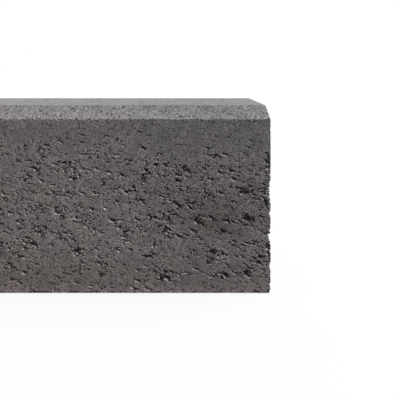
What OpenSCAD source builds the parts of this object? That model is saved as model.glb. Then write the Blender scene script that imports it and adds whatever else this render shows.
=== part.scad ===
// Concrete edging kerb: one pressed stone with a single chamfer along its top front edge.
// It stands on its bed, with its length along X, its chamfered face towards -Y and +Z up.
// The origin is the middle of the bed. Lengths are in millimetres.

/* [Stone] */
// Length, end face to end face
stone_length = 1000; // [250:10:1200]
// Thickness, front face to back face
stone_width = 80; // [50:1:200]
// Height, bed to top
stone_height = 250; // [150:5:400]

/* [Chamfer] */
// How far the chamfer reaches back across the top
chamfer_depth = 16; // [8:0.5:30]
// How far the chamfer reaches down the front face
chamfer_drop = 16; // [8:0.5:30]

/* [Arrises] */
// Radius along the top edge at the back
top_edge_radius = 1; // [0.5:0.1:4]
// Radius along both edges of the bed
bed_edge_radius = 1; // [0.5:0.1:4]
// Radius round the edges of both end faces
end_edge_radius = 1; // [0.5:0.1:4]

/* [Hidden] */

// Sides of a full circle: many for the long edges, and a few plain flats for the edges of the end
// faces, which meet each other at mitres
long_edge_sides = 48;
end_edge_sides = 12;

front_y = -stone_width / 2;
back_y = stone_width / 2;
left_x = -stone_length / 2;
right_x = stone_length / 2;

// Slope of the chamfer above level
chamfer_angle = atan2(chamfer_drop, chamfer_depth);

// Longer than any line across the section, for the outline that runs through it at the chamfer's slope
section_reach = stone_width + stone_height;

// A rectangle between two opposite corners, with its corners rounded: one radius for the two low
// corners and one for the two high ones
module rounded_rectangle(low, high, low_radius, high_radius, sides) {
    polygon([
        [low.x, low.y + low_radius],
        [low.x + low_radius, low.y],
        [high.x - low_radius, low.y],
        [high.x, low.y + low_radius],
        [high.x, high.y - high_radius],
        [high.x - high_radius, high.y],
        [low.x + high_radius, high.y],
        [low.x, high.y - high_radius],
    ]);
    for (x = [low.x + low_radius, high.x - low_radius])
        translate([x, low.y + low_radius]) circle(r = low_radius, $fn = sides);
    for (x = [low.x + high_radius, high.x - high_radius])
        translate([x, high.y - high_radius]) circle(r = high_radius, $fn = sides);
}

// The same with the radius of the end faces' edges at every corner
module end_rounded_rectangle(low, high) {
    rounded_rectangle(low, high, end_edge_radius, end_edge_radius, end_edge_sides);
}

// Section before the chamfer is taken off, run along the length: rounds the long edges
module section_bar() {
    rotate([90, 0, 90])
        linear_extrude(stone_length, center = true)
            rounded_rectangle(
                [front_y, 0], [back_y, stone_height], bed_edge_radius, top_edge_radius, long_edge_sides
            );
}

// Plan, run up the height: rounds the upright edges of the end faces
module plan_bar() {
    linear_extrude(stone_height)
        end_rounded_rectangle([left_x, front_y], [right_x, back_y]);
}

// Front elevation, run through the thickness: rounds the level edges of the end faces
module elevation_bar() {
    rotate([90, 0, 0])
        linear_extrude(stone_width, center = true)
            end_rounded_rectangle([left_x, 0], [right_x, stone_height]);
}

// View square to the chamfer, run along its slope: cuts the chamfer and rounds its two ends
module chamfer_bar() {
    translate([0, front_y, stone_height - chamfer_drop])
        rotate([90 + chamfer_angle, 0, 0])
            linear_extrude(2 * section_reach, center = true)
                end_rounded_rectangle([left_x, -section_reach], [right_x, 0]);
}

module kerb_stone() {
    color("#5f5a5b")
        intersection() {
            section_bar();
            plan_bar();
            elevation_bar();
            chamfer_bar();
        }
}

kerb_stone();
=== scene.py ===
"""Dresses the concrete kerb stone: its pressed surface, its concrete and the studio it is shown in."""

import math

import bpy
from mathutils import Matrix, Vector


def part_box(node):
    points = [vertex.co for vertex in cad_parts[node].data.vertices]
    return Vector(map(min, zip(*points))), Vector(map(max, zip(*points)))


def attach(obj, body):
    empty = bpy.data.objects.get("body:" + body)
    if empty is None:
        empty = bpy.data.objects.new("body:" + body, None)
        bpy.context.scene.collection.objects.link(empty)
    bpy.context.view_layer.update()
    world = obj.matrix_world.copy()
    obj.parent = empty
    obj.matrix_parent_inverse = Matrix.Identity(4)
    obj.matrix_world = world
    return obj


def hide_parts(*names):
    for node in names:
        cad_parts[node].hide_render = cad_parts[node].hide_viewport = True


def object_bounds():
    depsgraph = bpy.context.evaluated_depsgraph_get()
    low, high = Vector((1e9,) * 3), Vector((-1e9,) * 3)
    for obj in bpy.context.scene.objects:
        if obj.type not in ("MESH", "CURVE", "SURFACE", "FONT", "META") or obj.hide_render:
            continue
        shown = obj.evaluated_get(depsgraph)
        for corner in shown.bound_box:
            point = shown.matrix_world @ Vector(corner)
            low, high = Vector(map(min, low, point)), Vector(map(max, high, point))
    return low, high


bl_info = {
    "name": "Concrete kerb stone",
    "version": (1, 0, 0),
    "blender": (4, 5, 0),
    "location": "View3D > Sidebar > Kerb stone",
    "description": "Presses a concrete kerb stone and sets it in a plain studio",
    "category": "Add Mesh",
}

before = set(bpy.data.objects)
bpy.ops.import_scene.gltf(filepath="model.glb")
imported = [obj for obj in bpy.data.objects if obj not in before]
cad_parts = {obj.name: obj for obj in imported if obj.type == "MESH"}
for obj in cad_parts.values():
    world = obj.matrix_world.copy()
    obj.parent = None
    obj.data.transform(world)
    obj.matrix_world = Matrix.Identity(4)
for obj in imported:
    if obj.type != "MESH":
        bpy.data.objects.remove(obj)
CAD_LOW, CAD_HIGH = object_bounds()

MM = 0.001
PER_METRE_MM = 1000.0


def to_linear(hex_colour):
    """Linear red, green, blue and alpha of an sRGB colour such as #736e6f."""
    parts = [int(hex_colour[at:at + 2], 16) / 255 for at in (1, 3, 5)]
    return [p / 12.92 if p <= 0.04045 else ((p + 0.055) / 1.055) ** 2.4 for p in parts] + [1.0]


# Settings


def length_setting(name, description, size_mm):
    """A setting that is a length."""
    return bpy.props.FloatProperty(
        name=name, description=description, default=size_mm * MM, unit="LENGTH")


def angle_setting(name, description, degrees):
    """A setting that is an angle."""
    return bpy.props.FloatProperty(
        name=name, description=description, default=math.radians(degrees), subtype="ANGLE")


def colour_setting(name, description, hex_colour):
    """A setting that is a colour."""
    return bpy.props.FloatVectorProperty(
        name=name, description=description, default=to_linear(hex_colour), subtype="COLOR",
        size=4, min=0, max=1)


class StoneSettings(bpy.types.PropertyGroup):
    """Sizes of the stone and of the marks that pressing leaves in it"""

    chamfer: length_setting("Chamfer", "Reach of the chamfer back across the top and down the front", 16)
    arris: length_setting("Arris", "Radius of the other edges", 1)
    cell: length_setting("Cell", "Grid that the relief is pressed into", 1)
    void_depth: length_setting("Void depth", "Depth of the deepest voids", 4.5)
    triangles: bpy.props.IntProperty(
        name="Triangles", description="Triangles left when the flat places are thinned", default=190000)


class ConcreteSettings(bpy.types.PropertyGroup):
    """Colours of the concrete"""

    paste: colour_setting("Paste", "Colour of the pigmented cement paste", "#6c686a")
    brown: colour_setting("Brown", "Colour of the paste where the pigment turns brown", "#726968")
    laitance: colour_setting("Laitance", "Colour of the fine cement skin on top", "#6b6b6b")


class StageSettings(bpy.types.PropertyGroup):
    """Place of the camera, and the light"""

    eye_distance: length_setting("Eye distance", "From the camera to the stone's front face", 320)
    key_lean: angle_setting("Key lean", "Lean of the soft light from overhead towards the front", 8.5)
    key_side: angle_setting("Key side", "Lean of that light from overhead towards the right", 35)
    key_spread: angle_setting("Key spread", "Width of that light as the stone sees it", 34)
    key_strength: bpy.props.FloatProperty(
        name="Key strength", description="Strength of that light", default=4.4)
    sky_strength: bpy.props.FloatProperty(
        name="Sky strength", description="Strength of the even light from all round", default=0.6)


# Nodes

# Strength of each finer layer of a ragged noise against the layer before it, and of a plain one
RAGGED = 0.6
PLAIN = 0.5


def add(tree, kind, sockets=None, **settings):
    """Adds a node with its settings, its socket values and its links, and returns its outputs."""
    node = tree.nodes.new(kind)
    for name, value in settings.items():
        setattr(node, name, value)
    for key, value in (sockets or {}).items():
        if isinstance(value, bpy.types.NodeSocket):
            tree.links.new(value, node.inputs[key])
        else:
            node.inputs[key].default_value = value
    return node.outputs


def calc(tree, operation, *values):
    """One step of arithmetic with numbers."""
    return add(tree, "ShaderNodeMath", dict(enumerate(values)), operation=operation)[0]


def calc_vector(tree, operation, *values):
    """One step of arithmetic with vectors."""
    return add(tree, "ShaderNodeVectorMath", dict(enumerate(values)), operation=operation)[0]


def scale(tree, vector, factor):
    """A vector times a number."""
    return add(tree, "ShaderNodeVectorMath", {0: vector, "Scale": factor}, operation="SCALE")[0]


def split(tree, vector):
    """The three parts of a vector."""
    return add(tree, "ShaderNodeSeparateXYZ", {0: vector})


def turn(tree, place, angle):
    """A place turned in the plane of the front face."""
    return add(tree, "ShaderNodeVectorRotate", {"Vector": place, "Angle": angle}, rotation_type="Y_AXIS")[0]


def remap(tree, value, source=(0.0, 1.0), target=(0.0, 1.0), eased=False):
    """Maps a value from one range to another, evenly or eased, and holds it at both ends."""
    sockets = {0: value, 1: source[0], 2: source[1], 3: target[0], 4: target[1]}
    kind = "SMOOTHSTEP" if eased else "LINEAR"
    return add(tree, "ShaderNodeMapRange", sockets, interpolation_type=kind)[0]


def noise(tree, place, size, layers=1.0, strength=PLAIN):
    """Clouds of a size in mm, with layers of finer clouds on them: first a value, then three as a colour."""
    return add(tree, "ShaderNodeTexNoise",
               {"Vector": place, "Scale": 1 / size, "Detail": layers, "Roughness": strength})


def cells(tree, place, size):
    """Cells of a size in mm: the distance from a cell's middle, the cell's chance colour and its middle."""
    return add(tree, "ShaderNodeTexVoronoi", {"Vector": place, "Scale": 1 / size})


def nearness(tree, place, along, up, reach, rise):
    """How near a point is to a place in the front face: 1 in its middle and 0 outside its reach."""
    middle = (along, CAD_LOW.y * PER_METRE_MM, up)
    gap = calc_vector(tree, "SUBTRACT", place, middle)
    gap = calc_vector(tree, "DIVIDE", gap, (reach, reach, rise))
    gap = add(tree, "ShaderNodeVectorMath", {0: gap}, operation="LENGTH")["Value"]
    return remap(tree, gap, target=(1.0, 0.0))


# Shape

# Chips along the edges, in mm: length and largest size of those round the ends, along the bed and
# along the other edges
END_CHIP = 9.0
END_CHIP_SIZE = 16.0
BED_CHIP = 6.0
BED_CHIP_SIZE = 1.8
LONG_CHIP = 5.0
LONG_CHIP_SIZE = 1.6
# Rise of the noise from a whole edge to the largest chip
CHIP_FIELD = (0.48, 0.7)
CHIP_LAYERS = 3.0
# The chips of the ends are smaller in the dense concrete near the top and at the bed's corners: heights
# in mm, the size near the top, and the shares from the bed up
DENSE_HEIGHT = (180.0, 205.0)
DENSE_CHIP_SIZE = 3.0
CORNER_HEIGHT = (0.0, 12.0)
CORNER_SHARE = (0.2, 1.0)
# Sine of half a right angle, at which the chamfer leans back
CHAMFER_SINE = math.sqrt(0.5)


def edge_chips(tree, place, stone):
    """Depth of the chips along the stone's edges, in mm.

    A chip cuts the edge between two faces off at a slope: it is as deep as its own size less the
    point's distances from both faces.
    """
    half = (CAD_HIGH - CAD_LOW) / 2 * PER_METRE_MM
    at = split(tree, place)
    end_gap = calc(tree, "SUBTRACT", half.x, calc(tree, "ABSOLUTE", at["X"]))
    side_gap = calc(tree, "SUBTRACT", half.y, calc(tree, "ABSOLUTE", at["Y"]))
    top_gap = calc(tree, "SUBTRACT", 2 * half.z, at["Z"])
    level_gap = calc(tree, "MINIMUM", top_gap, at["Z"])
    face_gap = calc(tree, "MINIMUM", side_gap, level_gap)
    chamfer_gap = calc(tree, "ADD", at["Y"], half.y)
    chamfer_gap = calc(tree, "ADD", chamfer_gap, top_gap)
    chamfer_gap = calc(tree, "SUBTRACT", chamfer_gap, stone.chamfer * PER_METRE_MM)
    chamfer_gap = calc(tree, "MULTIPLY", chamfer_gap, CHAMFER_SINE)

    end_edge = calc(tree, "ADD", end_gap, calc(tree, "MINIMUM", face_gap, chamfer_gap))
    bed_edge = calc(tree, "ADD", side_gap, at["Z"])
    level_edge = calc(tree, "ADD", side_gap, level_gap)
    chamfer_edge = calc(tree, "ADD", chamfer_gap, face_gap)
    long_edge = calc(tree, "MINIMUM", level_edge, chamfer_edge)

    end_size = remap(tree, at["Z"], DENSE_HEIGHT, (END_CHIP_SIZE, DENSE_CHIP_SIZE))
    end_size = calc(tree, "MULTIPLY", end_size, remap(tree, at["Z"], CORNER_HEIGHT, CORNER_SHARE))

    chips = 0.0
    for edge, length, size in (
            (end_edge, END_CHIP, end_size),
            (bed_edge, BED_CHIP, BED_CHIP_SIZE),
            (long_edge, LONG_CHIP, LONG_CHIP_SIZE)):
        broken = noise(tree, place, length, CHIP_LAYERS, RAGGED)[0]
        broken = remap(tree, broken, CHIP_FIELD, (0.0, size))
        chip = calc(tree, "SUBTRACT", broken, edge)
        chips = calc(tree, "MAXIMUM", chips, chip)
    return chips


# How thickly the voids lie, with 1 for the open part of a long face. A face counts as an end or as a long
# face by the share of its normal that points that way, so the top, the bed and the chamfer have no voids.
FACE_TURN = (0.8, 0.95)
END_COVER = (0.0, 0.55)
# Fewer in the fine facing at the top, whose limit wanders, and a little fewer near the bed: heights in mm
FACING_HEIGHT = (262.0, 208.0)
FACING_COVER = (0.48, 1.0)
WANDER = 60.0
WANDER_REACH = 50.0
BED_HEIGHT = (0.0, 40.0)
BED_COVER = (0.75, 1.0)
# Patches and long slanting bands with more and with fewer, in mm
PATCH = 40.0
PATCH_FIELD = (0.3, 0.7)
PATCH_COVER = (0.85, 1.02)
BAND = 30.0
BAND_SLANT = math.radians(-8)
BAND_SQUEEZE = (1.0, 1.0, 3.0)
BAND_FIELD = (0.35, 0.65)
BAND_COVER = (0.71, 1.13)
# Places in the front face where they gather, in mm: middle along and up, and reach along and up
GATHERED = (
    (470, 98, 14, 14), (467, 26, 13, 11), (355, 22, 11, 10), (240, 60, 12, 14), (437, 24, 11, 7),
    (398, 98, 11, 7), (325, 106, 17, 6), (170, 152, 11, 7), (490, 172, 11, 7), (383, 187, 9, 6),
)
GATHERED_RISE = 0.45


def void_cover(tree, place, normal):
    """How thickly the voids lie: most on the long faces, below the fine facing at the top."""
    height = split(tree, place)["Z"]
    facing = split(tree, calc_vector(tree, "ABSOLUTE", normal))
    long_face = remap(tree, facing["Y"], FACE_TURN, eased=True)
    end_face = remap(tree, facing["X"], FACE_TURN, END_COVER, eased=True)
    cover = calc(tree, "ADD", long_face, end_face)

    limit = calc(tree, "MULTIPLY_ADD", noise(tree, place, WANDER)[0], WANDER_REACH, height)
    banded = calc_vector(tree, "MULTIPLY", turn(tree, place, BAND_SLANT), BAND_SQUEEZE)
    for share in (
            remap(tree, limit, FACING_HEIGHT, FACING_COVER),
            remap(tree, height, BED_HEIGHT, BED_COVER),
            remap(tree, noise(tree, place, PATCH)[0], PATCH_FIELD, PATCH_COVER),
            remap(tree, noise(tree, banded, BAND)[0], BAND_FIELD, BAND_COVER)):
        cover = calc(tree, "MULTIPLY", cover, share)
    for where in GATHERED:
        cover = calc(tree, "MULTIPLY_ADD", nearness(tree, place, *where), GATHERED_RISE, cover)
    return cover


# The voids lie at a slant, a little flattened, with warped outlines, in mm
SLANT = math.radians(-10)
SQUEEZE = (1.0, 1.0, 1.5)
WARP = 6.0
WARP_LAYERS = 2.0
WARP_REACH = (7.0, 7.0, 7.0)
NOISE_MIDDLE = (0.5, 0.5, 0.5)
# Value of the opening field far from any void. A void is open above 0.
CLOSED = -1.0
# Tears under lumps of mortar: radius of a lump as a share of its cell, the way to its underside, how
# much the cover adds to the chance of a tear, the half range of that chance, how fast a tear thins out
# round the sides of its lump in mm, and the rise of the opening field in each mm of a tear
LUMP_RADIUS = 0.36
UNDERSIDE = (-0.3, 0.0, -0.95)
TEAR_GAIN = 1.5
TEAR_FULL = 0.65
TEAR_TAPER = 2.0
TEAR_RISE = 0.05
# For large and small lumps: their size and the reach of the widest tears in mm, and the chance that
# is half way to such a tear
TEARS = ((15.0, 2.8, 1.45), (8.0, 1.6, 1.68))
# Blowholes and pits: size in mm, how much the cover adds to the noise, and where they open
HOLE = 9.0
HOLE_LAYERS = 2.0
HOLE_GAIN = 0.5
HOLE_START = 1.095
PIT = 3.4
PIT_GAIN = 0.3
PIT_START = 0.985


def void_opening(tree, place, cover):
    """How far the face is open: tears under lumps of mortar, blowholes and pits, above 0."""
    level = calc_vector(tree, "MULTIPLY", turn(tree, place, SLANT), SQUEEZE)
    warp = noise(tree, level, WARP, WARP_LAYERS)["Color"]
    warp = calc_vector(tree, "SUBTRACT", warp, NOISE_MIDDLE)
    warped = calc_vector(tree, "MULTIPLY_ADD", warp, WARP_REACH, level)

    # A tear is widest right under its lump and thins out round the lump's sides
    opening = CLOSED
    for size, reach, start in TEARS:
        lumps = cells(tree, warped, size)
        outwards = calc_vector(tree, "SUBTRACT", warped, lumps["Position"])
        outwards = calc_vector(tree, "NORMALIZE", outwards)
        under = add(tree, "ShaderNodeVectorMath", {0: outwards, 1: UNDERSIDE},
                    operation="DOT_PRODUCT")["Value"]
        under = calc(tree, "MAXIMUM", under, 0.0)
        chance = calc(tree, "MULTIPLY_ADD", cover, TEAR_GAIN, split(tree, lumps["Color"])["X"])
        width = remap(tree, chance, (start - TEAR_FULL, start + TEAR_FULL),
                      (TEAR_TAPER - reach, TEAR_TAPER + reach))
        width = calc(tree, "MULTIPLY_ADD", width, under, -TEAR_TAPER)
        rim = calc(tree, "SUBTRACT", lumps["Distance"], LUMP_RADIUS)
        rim = calc(tree, "ABSOLUTE", rim)
        tear = calc(tree, "MULTIPLY_ADD", rim, -size, width)
        tear = calc(tree, "MULTIPLY", tear, TEAR_RISE)
        opening = calc(tree, "MAXIMUM", opening, tear)

    hole = noise(tree, warped, HOLE, HOLE_LAYERS, RAGGED)[0]
    pit = noise(tree, level, PIT)[0]
    for field, gain, start in ((hole, HOLE_GAIN, HOLE_START), (pit, PIT_GAIN, PIT_START)):
        rise = calc(tree, "MULTIPLY_ADD", cover, gain, -start)
        rise = calc(tree, "ADD", field, rise)
        opening = calc(tree, "MAXIMUM", opening, rise)
    return opening


# Rise of the opening field from the lip of a void to its floor
VOID_WALL = (-0.03, 0.09)


def mesh_tree(name):
    """An empty node tree that takes a mesh in and gives a mesh out."""
    tree = bpy.data.node_groups.new(name, "GeometryNodeTree")
    for way in ("INPUT", "OUTPUT"):
        tree.interface.new_socket("Geometry", in_out=way, socket_type="NodeSocketGeometry")
    return tree


def note(tree, body, name, value, kind="FLOAT"):
    """Notes a value at each point of the mesh, for the material to read."""
    return add(tree, "GeometryNodeStoreNamedAttribute", {"Geometry": body, "Name": name, "Value": value},
               data_type=kind, domain="POINT")[0]


def relief_tree(stone):
    """Presses the stone's relief inwards and notes where each point was pressed from."""
    tree = mesh_tree("pressed_relief")
    body = add(tree, "NodeGroupInput")[0]
    normal = add(tree, "GeometryNodeInputNormal")[0]
    place = scale(tree, add(tree, "GeometryNodeInputPosition")[0], PER_METRE_MM)
    cover = void_cover(tree, place, normal)
    upward = calc(tree, "MAXIMUM", split(tree, normal)["Z"], 0.0)
    body = note(tree, body, "pressed_from", place, "FLOAT_VECTOR")
    body = note(tree, body, "void_cover", cover)
    body = note(tree, body, "upward", upward)

    opening = void_opening(tree, place, cover)
    voids = remap(tree, opening, VOID_WALL, (0.0, stone.void_depth * PER_METRE_MM), eased=True)
    depth = calc(tree, "MAXIMUM", voids, edge_chips(tree, place, stone))
    offset = scale(tree, normal, calc(tree, "MULTIPLY", depth, -MM))
    body = add(tree, "GeometryNodeSetPosition", {"Geometry": body, "Offset": offset})[0]
    add(tree, "NodeGroupOutput", {0: body})
    return tree


def trim_tree(low, high):
    """Keeps every point inside the stone's box."""
    tree = mesh_tree("trimmed_box")
    body = add(tree, "NodeGroupInput")[0]
    inside = calc_vector(tree, "MAXIMUM", add(tree, "GeometryNodeInputPosition")[0], low)
    inside = calc_vector(tree, "MINIMUM", inside, high)
    body = add(tree, "GeometryNodeSetPosition", {"Geometry": body, "Position": inside})[0]
    add(tree, "NodeGroupOutput", {0: body})
    return tree


# Concrete

# Frayed outlines of the voids, finer than the mesh: size in mm and share of the opening field
FRAY = 1.45
FRAY_LAYERS = 2.0
FRAY_SHARE = 0.26


def frayed_opening(tree, place, cover):
    """How far the face is open, with frayed outlines that are finer than the mesh."""
    fray = noise(tree, place, FRAY, FRAY_LAYERS, RAGGED)[0]
    fray = calc(tree, "MULTIPLY_ADD", fray, FRAY_SHARE, -FRAY_SHARE / 2)
    return calc(tree, "ADD", void_opening(tree, place, cover), fray)


# Pores, drawn coarser than the finest real ones, so that they show in the render, and without depth in
# the mesh, so that their darkness is painted shade: size of the packing's cells in mm, what the voids and
# the chamfer add to the chance of one, the chance of the smallest and of the widest, the radius of the
# widest as a share of its cell, and their rise in the opening field
PORE = 2.8
PORE_NEAR = 0.42
PORE_SLOPE = 0.12
PORE_CHANCE = (0.82, 1.2)
PORE_RADIUS = 0.6
PORE_RISE = 0.35


def pores(tree, place, bared, slope):
    """How far the pores are open: balls of air in some of the cells of a loose packing."""
    packing = cells(tree, place, PORE)
    chance = split(tree, packing["Color"])["Y"]
    chance = calc(tree, "MULTIPLY_ADD", bared, PORE_NEAR, chance)
    chance = calc(tree, "MULTIPLY_ADD", slope, PORE_SLOPE, chance)
    radius = remap(tree, chance, PORE_CHANCE, (0.0, PORE_RADIUS))
    pore = calc(tree, "SUBTRACT", radius, packing["Distance"])
    return calc(tree, "MULTIPLY", pore, PORE_RISE)


# Ranges of the opening field: the paste beside a void, the hollow of its lip, its outline and its depth
BARED = (-0.12, -0.02)
HOLLOW = (-0.07, 0.01)
OUTLINE = (0.006, 0.03)
DEPTH = (0.03, 0.09)
# Painted light and shade in a void, as factors of the paste's own: light on its lit floor, shade under its
# upper rim and in its depth, and a highlight on its lip from plain to pale
VOID_LIT = 0.5
VOID_SHADE = 0.1
LIP_HIGHLIGHT = (1.0, 2.0)
# Way from a painted highlight on a lip up to the void above it, in mm: towards the light from the upper
# right
LIGHT_WAY = (1.0, 0.0, 1.1)


def void_light_and_shade(tree, place, cover, slope):
    """Painted light and shade of the voids and their lips, with the paste beside them and the hollows that
    they make.

    The voids are painted dark inside as shade, with a painted lit floor, and their lower lips are painted
    pale as a highlight where the light from the upper right falls on them.
    """
    opening = frayed_opening(tree, place, cover)
    above = frayed_opening(tree, calc_vector(tree, "ADD", place, LIGHT_WAY), cover)
    bared = remap(tree, opening, BARED, eased=True)
    # The pores have no depth in the mesh: their darkness is painted shade
    opening = calc(tree, "MAXIMUM", opening, pores(tree, place, bared, slope))
    # Painted light where the way towards the light is open, a painted highlight on the lower lip, and
    # painted shade under the upper rim and in the depth
    lit = remap(tree, above, OUTLINE, eased=True)
    lip_highlight = remap(tree, lit, target=LIP_HIGHLIGHT)
    floor = remap(tree, opening, DEPTH, (VOID_LIT, VOID_SHADE), eased=True)
    floor = remap(tree, lit, target=(VOID_SHADE, floor))
    tone = remap(tree, opening, OUTLINE, (lip_highlight, floor), eased=True)
    hollow = remap(tree, opening, HOLLOW, eased=True)
    return tone, bared, hollow


# How boldly the sand shows: in the patches that are smeared with paste, in the facing and where the voids
# lie thickly, and in the bare ones, then less on the top, and at least so much beside the voids and on
# the chamfer
SMEAR_FIELD = (0.35, 0.6)
SMEAR_COVER = (0.3, 0.9)
SMEAR_FACING = 0.55
SMEAR_OPEN = 0.48
SMEAR_NONE = 1.08
TOP_TURN = (0.4, 0.95)
TOP_SAND = (1.0, 0.6)
BARED_SAND = 1.5
SLOPE_SAND = 0.95


def sand_share(tree, cover, upward, slope, bared, patchy):
    """How boldly the sand shows."""
    smeared = remap(tree, cover, SMEAR_COVER, (SMEAR_FACING, SMEAR_OPEN))
    share = remap(tree, patchy, SMEAR_FIELD, (smeared, SMEAR_NONE))
    share = calc(tree, "MULTIPLY", share, remap(tree, upward, TOP_TURN, TOP_SAND))
    for where, least in ((bared, BARED_SAND), (slope, SLOPE_SAND)):
        share = calc(tree, "MAXIMUM", share, calc(tree, "MULTIPLY", where, least))
    return share


# Tones that come and go over the stone, and painted light and shade, as factors of the paste's own, with
# heights and sizes in mm.
# Upward parts of the normal are 0 on upright faces and 1 on the top.
BLOTCH_TONE = (0.75, 1.25)
# Marks of the mould, drawn down the upright faces
DRAG = 4.0
DRAG_LAYERS = 2.0
DRAG_STRETCH = (1.0, 1.0, 0.06)
DRAG_TONE = (-0.21, 0.21)
UPRIGHT_TURN = (0.2, 0.6)
# Painted bounce light from the floor, pale over the foot, and dashes of painted shade along its edge,
# where small chips lie in shadow
FOOT_HEIGHT = (0.0, 12.0)
FOOT_BOUNCE_TONE = (1.42, 1.0)
FOOT_SHADE = 9.0
FOOT_SHADE_FIELD = (0.49, 0.57)
FOOT_SHADE_DARK = (0.0, 0.75)
FOOT_SHADE_HEIGHT = (2.8, 4.6)
# From the facing to where the voids lie thickly; painted light from the upright faces to the top, where the
# light from overhead falls; and a painted highlight down the chamfer to its lower arris, which catches the
# light
OPEN_COVER = (0.45, 0.9)
OPEN_TONE = (0.86, 1.1)
TOP_LIGHT_TURN = (0.5, 0.95)
TOP_LIGHT_TONE = (1.0, 1.25)
CHAMFER_HIGHLIGHT_HEIGHT = (249.0, 235.0)
CHAMFER_HIGHLIGHT_TONE = (-0.1, 0.155)


def wear_and_light_tones(tree, place, cover, upward, slope, patchy):
    """Tones of the blotches, drag marks and open paste, with painted light over the foot and top, painted
    shade along the foot's edge and a painted highlight down the chamfer.
    """
    height = split(tree, place)["Z"]
    blotch = remap(tree, patchy, target=BLOTCH_TONE)
    drawn = calc_vector(tree, "MULTIPLY", place, DRAG_STRETCH)
    drag = remap(tree, noise(tree, drawn, DRAG, DRAG_LAYERS)[0], target=DRAG_TONE)
    upright = remap(tree, upward, UPRIGHT_TURN, (1.0, 0.0))
    drag = calc(tree, "MULTIPLY_ADD", drag, upright, 1.0)
    # Painted bounce light from the floor, pale over the foot
    foot = remap(tree, height, FOOT_HEIGHT, FOOT_BOUNCE_TONE)
    # Painted shade in dashes along the foot's edge, where small chips lie in shadow
    foot_shade = remap(tree, noise(tree, place, FOOT_SHADE)[0], FOOT_SHADE_FIELD, FOOT_SHADE_DARK)
    foot_edge = remap(tree, height, FOOT_SHADE_HEIGHT, (-1.0, 0.0))
    foot_shade = calc(tree, "MULTIPLY_ADD", foot_edge, foot_shade, 1.0)
    open_paste = remap(tree, cover, OPEN_COVER, OPEN_TONE)
    # Painted light, paler towards the top where the light from overhead falls
    top_light = remap(tree, upward, TOP_LIGHT_TURN, TOP_LIGHT_TONE)
    # Painted highlight growing down the chamfer to its lower arris, which catches the light
    chamfer_highlight = remap(tree, height, CHAMFER_HIGHLIGHT_HEIGHT, CHAMFER_HIGHLIGHT_TONE)
    chamfer_highlight = calc(tree, "MULTIPLY_ADD", slope, chamfer_highlight, 1.0)
    return blotch, drag, foot, foot_shade, open_paste, top_light, chamfer_highlight


# On the chamfer the upward part of the normal times the rest of it to 1 is over 0.2, and 0 on other faces
SLOPE_TURN = (0.08, 0.2)
# Patches of smeared and of bare paste, in mm
SMEAR = 16.0
SMEAR_LAYERS = 2.0
# Sand in cells of a size in mm, drawn coarser than most real grains, so that it shows in the render, and
# what the darkest and the palest grains add to the paste's tone. Their strong contrast also stands in for
# the painted shade and highlights of a rough skin too fine for the mesh
GRIT = 1.0
GRIT_FIELD = (0.06, 0.94)
GRIT_TONE = (-0.9, 0.95)
# Rough skin of the paste, drawn coarse for the same reason, and the hollows at the voids: sizes in mm
GRAIN = 2.4
GRAIN_LAYERS = 1.5
GRAIN_HEIGHT = 0.2
VOID_BUMP = 1.5
# Share of brown in the pigment: from the top to the foot, and in clouds of a size in mm
BROWN_HEIGHT = (250.0, 0.0)
BROWN_SHARE = (-0.45, 0.25)
CLOUD = 38.0
CLOUD_LAYERS = 4.0
CLOUD_BROWN = 1.4
# How fast the cement skin thins out as a face turns away from the top
LAITANCE_POWER = 2.0
# Stains in the front face: middle along and up and reach along and up in mm, tone in the middle, and
# share of brown that it adds
STAINS = (
    ((445, 118, 200, 130), 0.8, -0.35),
    ((428, 98, 62, 28), 0.62, 1.0),
    ((185, 18, 80, 34), 0.97, 1.6),
    ((320, 22, 420, 50), 0.86, 0.0),
    ((430, 222, 190, 50), 0.87, -0.5),
    ((120, 180, 220, 90), 1.0, 0.3),
)


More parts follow.
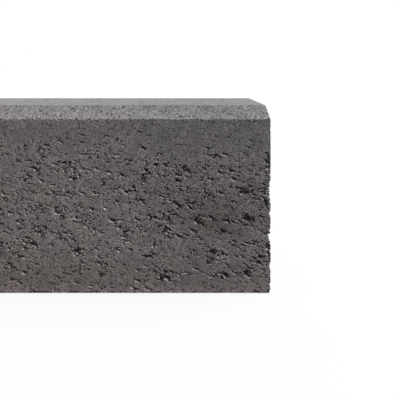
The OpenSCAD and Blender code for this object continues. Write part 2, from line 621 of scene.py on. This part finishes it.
def pressed_concrete(colours):
    """Vibrated, pressed concrete with dark pigment.

    It gives the eye a matt, sandy anthracite face with open voids, pores and faint brown stains, under a
    paler chamfer and top. Shade in the voids, pores and chips of the foot, and light and highlights on the
    voids' floors and lips, the top, the chamfer and the foot are painted into its colour.
    """
    material = bpy.data.materials.new("pressed_anthracite_concrete")
    material.use_nodes = True
    tree = material.node_tree
    tree.nodes.clear()
    place = add(tree, "ShaderNodeAttribute", attribute_name="pressed_from")["Vector"]
    cover = add(tree, "ShaderNodeAttribute", attribute_name="void_cover")["Fac"]
    upward = add(tree, "ShaderNodeAttribute", attribute_name="upward")["Fac"]
    slope = calc(tree, "SUBTRACT", 1.0, upward)
    slope = calc(tree, "MULTIPLY", slope, upward)
    slope = remap(tree, slope, SLOPE_TURN)
    patchy = noise(tree, place, SMEAR, SMEAR_LAYERS)[0]

    # The voids with their painted light and shade, then sand grains with a tone of their own each, then wear
    # and more painted light and shade
    tone, bared, hollow = void_light_and_shade(tree, place, cover, slope)
    bold = sand_share(tree, cover, upward, slope, bared, patchy)
    # Sand grains with tones of their own, whose contrast is partly painted shade and highlight of a fine
    # rough skin
    sand = remap(tree, cells(tree, place, GRIT)["Color"], GRIT_FIELD, GRIT_TONE)
    sand = calc(tree, "MULTIPLY_ADD", sand, bold, 1.0)
    for share in (sand, *wear_and_light_tones(tree, place, cover, upward, slope, patchy)):
        tone = calc(tree, "MULTIPLY", tone, share)

    # The pigment is browner towards the foot and in clouds, and greyer where the paste rises to the top
    browner = remap(tree, split(tree, place)["Z"], BROWN_HEIGHT, BROWN_SHARE)
    clouds = noise(tree, place, CLOUD, CLOUD_LAYERS, RAGGED)[0]
    browner = calc(tree, "MULTIPLY_ADD", clouds, CLOUD_BROWN, browner)
    for where, stain_tone, brown in STAINS:
        stain = nearness(tree, place, *where)
        tone = calc(tree, "MULTIPLY", tone, remap(tree, stain, target=(1.0, stain_tone)))
        browner = calc(tree, "MULTIPLY_ADD", stain, brown, browner)
    laitance = calc(tree, "POWER", upward, LAITANCE_POWER)
    paste = add(tree, "ShaderNodeMix", {0: browner, 6: colours.paste, 7: colours.brown}, data_type="RGBA")[2]
    paste = add(tree, "ShaderNodeMix", {0: laitance, 6: paste, 7: colours.laitance}, data_type="RGBA")[2]

    grain = noise(tree, place, GRAIN, GRAIN_LAYERS, RAGGED)[0]
    height = calc(tree, "MULTIPLY", grain, bold)
    height = calc(tree, "MULTIPLY", height, GRAIN_HEIGHT)
    height = calc(tree, "MULTIPLY_ADD", hollow, -VOID_BUMP, height)
    bump = add(tree, "ShaderNodeBump", {"Strength": 1.0, "Distance": MM, "Height": height})[0]
    surface = add(tree, "ShaderNodeBsdfPrincipled",
                  {"Base Color": scale(tree, paste, tone), "Roughness": 0.9, "IOR": 1.5, "Normal": bump})[0]
    add(tree, "ShaderNodeOutputMaterial", {"Surface": surface})
    return material


# Edges that turn more than this are rounded: all but the two long ones of the chamfer
SHARP_TURN = math.radians(60)
ARRIS_SEGMENTS = 3
# Faces that turn less than this are shaded as one
SMOOTH_TURN = math.radians(20)


class KERB_OT_press_stone(bpy.types.Operator):
    """Presses the kerb stone: block, chamfer, arrises, relief and concrete"""

    bl_idname = "kerb.press_stone"
    bl_label = "Press kerb stone"

    def execute(self, context):
        stone = context.scene.kerb_stone
        low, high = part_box("kerb_stone")
        bpy.ops.object.select_all(action="DESELECT")
        bpy.ops.mesh.primitive_cube_add(size=1, location=(low + high) / 2, scale=high - low)
        block = context.object
        block.name = "pressed_kerb_stone"
        bpy.ops.object.transform_apply(location=True, rotation=True, scale=True)
        self.cut_edges(block, stone, low, high)

        grid = block.modifiers.new("grid", "REMESH")
        grid.mode = "VOXEL"
        grid.voxel_size = stone.cell
        bpy.ops.object.modifier_apply(modifier=grid.name)
        self.apply_tree(block, "relief", relief_tree(stone))
        thinned = block.modifiers.new("thinned", "DECIMATE")
        thinned.ratio = stone.triangles / (2 * len(block.data.polygons))
        bpy.ops.object.modifier_apply(modifier=thinned.name)
        self.apply_tree(block, "trim", trim_tree(low, high))
        bpy.ops.object.shade_smooth_by_angle(angle=SMOOTH_TURN)

        block.data.materials.append(pressed_concrete(context.scene.kerb_concrete))
        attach(block, "root")
        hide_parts("kerb_stone")
        return {"FINISHED"}

    @staticmethod
    def cut_edges(block, stone, low, high):
        """Cuts the chamfer along the top front edge, then rounds every edge but the chamfer's long ones."""
        bpy.ops.object.mode_set(mode="EDIT")
        bpy.ops.mesh.select_mode(type="EDGE")
        bpy.ops.mesh.select_all(action="DESELECT")
        bpy.ops.object.mode_set(mode="OBJECT")
        points = block.data.vertices
        near = stone.arris / 2
        for edge in block.data.edges:
            ends = [points[at].co for at in edge.vertices]
            edge.select = all(p.z > high.z - near and p.y < low.y + near for p in ends)
        bpy.ops.object.mode_set(mode="EDIT")
        bpy.ops.mesh.bevel(offset=stone.chamfer, segments=1, affect="EDGES")
        bpy.ops.mesh.select_all(action="DESELECT")
        bpy.ops.mesh.edges_select_sharp(sharpness=SHARP_TURN)
        bpy.ops.mesh.bevel(offset=stone.arris, segments=ARRIS_SEGMENTS, affect="EDGES")
        bpy.ops.mesh.select_all(action="SELECT")
        bpy.ops.mesh.normals_make_consistent(inside=False)
        bpy.ops.object.mode_set(mode="OBJECT")

    @staticmethod
    def apply_tree(block, name, tree):
        """Works a node tree into the block's mesh."""
        nodes = block.modifiers.new(name, "NODES")
        nodes.node_group = tree
        bpy.ops.object.modifier_apply(modifier=nodes.name)


# Stage

# Floor, in metres: the grey that it throws back onto the stone, and the pale paper that the camera sees,
# part of it lit and the rest plain white
FLOOR_SIZE = 12
FLOOR_BOUNCE = to_linear("#7c7c7c")
FLOOR_PAPER = to_linear("#cbcbcb")
FLOOR_WHITE = 0.75
WHITE = to_linear("#ffffff")

# Places in the photo's frame, in pixels: the stone's right end, the front foot of the stone, the scale of
# its front face, and the shift of its back top corner from its front one
FRAME_PX = 400
END_PX = 271.0
FOOT_PX = 293.6
FRONT_PX_PER_MM = 0.7447
DRIFT_X_PX = 21.6
DRIFT_Y_PX = 9.3
SENSOR_MM = 36


class KERB_OT_set_stage(bpy.types.Operator):
    """Sets the floor, the light and the camera"""

    bl_idname = "kerb.set_stage"
    bl_label = "Set stage"

    def execute(self, context):
        stage = context.scene.kerb_stage
        self.floor(context)
        self.light(context, stage)
        self.camera(context, stage)
        return {"FINISHED"}

    @staticmethod
    def looked_at(tree):
        """1 for a ray from the camera, direct or by way of a mirror or a pane, and 0 for light."""
        path = add(tree, "ShaderNodeLightPath")
        seen = calc(tree, "MAXIMUM", path["Is Camera Ray"], path["Is Glossy Ray"])
        return calc(tree, "MAXIMUM", seen, path["Is Transmission Ray"])

    def floor(self, context):
        """Lays a pale floor under the stone."""
        bpy.ops.object.select_all(action="DESELECT")
        bpy.ops.mesh.primitive_plane_add(size=FLOOR_SIZE, location=(0, 0, CAD_LOW.z))
        floor = context.object
        floor.name = "floor"
        material = bpy.data.materials.new("pale_floor")
        material.use_nodes = True
        tree = material.node_tree
        tree.nodes.clear()
        bounce = add(tree, "ShaderNodeBsdfDiffuse", {"Color": FLOOR_BOUNCE})[0]
        pale = add(tree, "ShaderNodeBsdfDiffuse", {"Color": FLOOR_PAPER})[0]
        white = add(tree, "ShaderNodeEmission", {"Color": WHITE, "Strength": 1.0})[0]
        paper = add(tree, "ShaderNodeMixShader", {0: FLOOR_WHITE, 1: pale, 2: white})[0]
        surface = add(tree, "ShaderNodeMixShader", {0: self.looked_at(tree), 1: bounce, 2: paper})[0]
        add(tree, "ShaderNodeOutputMaterial", {"Surface": surface})
        floor.data.materials.append(material)

    def light(self, context, stage):
        """Hangs a wide soft light overhead, in a white studio that gives even light from all round."""
        lamp = bpy.data.lights.new("softbox", "SUN")
        lamp.energy = stage.key_strength
        lamp.angle = stage.key_spread
        softbox = bpy.data.objects.new("softbox", lamp)
        context.collection.objects.link(softbox)
        softbox.rotation_euler = (stage.key_lean, stage.key_side, 0)

        world = bpy.data.worlds.new("studio")
        world.use_nodes = True
        tree = world.node_tree
        tree.nodes.clear()
        strength = remap(tree, self.looked_at(tree), target=(stage.sky_strength, 1.0))
        sky = add(tree, "ShaderNodeBackground", {"Color": WHITE, "Strength": strength})[0]
        add(tree, "ShaderNodeOutputWorld", {"Surface": sky})
        context.scene.world = world
        context.scene.view_settings.view_transform = "Standard"

    @staticmethod
    def camera(context, stage):
        """Looks square at the front face, off centre as the photo is framed."""
        distance = stage.eye_distance * PER_METRE_MM
        thickness = (CAD_HIGH.y - CAD_LOW.y) * PER_METRE_MM
        # The edges that run back head for one point, this many times farther off than their back ends
        farther = (distance + thickness) / thickness
        top_px = FOOT_PX - (CAD_HIGH.z - CAD_LOW.z) * PER_METRE_MM * FRONT_PX_PER_MM
        eye_x_px = END_PX - DRIFT_X_PX * farther
        eye_y_px = top_px - DRIFT_Y_PX * farther
        middle_px = FRAME_PX / 2
        lens = bpy.data.cameras.new("camera")
        lens.sensor_width = SENSOR_MM
        lens.lens = SENSOR_MM * FRONT_PX_PER_MM * distance / FRAME_PX
        lens.shift_x = (middle_px - eye_x_px) / FRAME_PX
        lens.shift_y = (eye_y_px - middle_px) / FRAME_PX
        camera = bpy.data.objects.new("camera", lens)
        context.collection.objects.link(camera)
        camera.location = (
            CAD_HIGH.x - (END_PX - eye_x_px) / FRONT_PX_PER_MM * MM,
            CAD_LOW.y - stage.eye_distance,
            CAD_LOW.z + (FOOT_PX - eye_y_px) / FRONT_PX_PER_MM * MM,
        )
        camera.rotation_euler = (math.radians(90), 0, 0)
        context.scene.camera = camera


class KERB_PT_panel(bpy.types.Panel):
    """Lists the steps that make the stone and its stage"""

    bl_idname = "KERB_PT_panel"
    bl_label = "Kerb stone"
    bl_space_type = "VIEW_3D"
    bl_region_type = "UI"
    bl_category = "Kerb stone"

    def draw(self, context):
        for operator in OPERATORS:
            self.layout.operator(operator.bl_idname)


SETTINGS = {"kerb_stone": StoneSettings, "kerb_concrete": ConcreteSettings, "kerb_stage": StageSettings}
OPERATORS = [KERB_OT_press_stone, KERB_OT_set_stage]


def register():
    for group in SETTINGS.values():
        bpy.utils.register_class(group)
    for name, group in SETTINGS.items():
        setattr(bpy.types.Scene, name, bpy.props.PointerProperty(type=group))
    for made in [*OPERATORS, KERB_PT_panel]:
        bpy.utils.register_class(made)


def unregister():
    for made in [KERB_PT_panel, *reversed(OPERATORS)]:
        bpy.utils.unregister_class(made)
    for name in SETTINGS:
        delattr(bpy.types.Scene, name)
    for group in SETTINGS.values():
        bpy.utils.unregister_class(group)


def main():
    register()
    bpy.ops.kerb.press_stone()
    bpy.ops.kerb.set_stage()


if __name__ == "__main__":
    main()
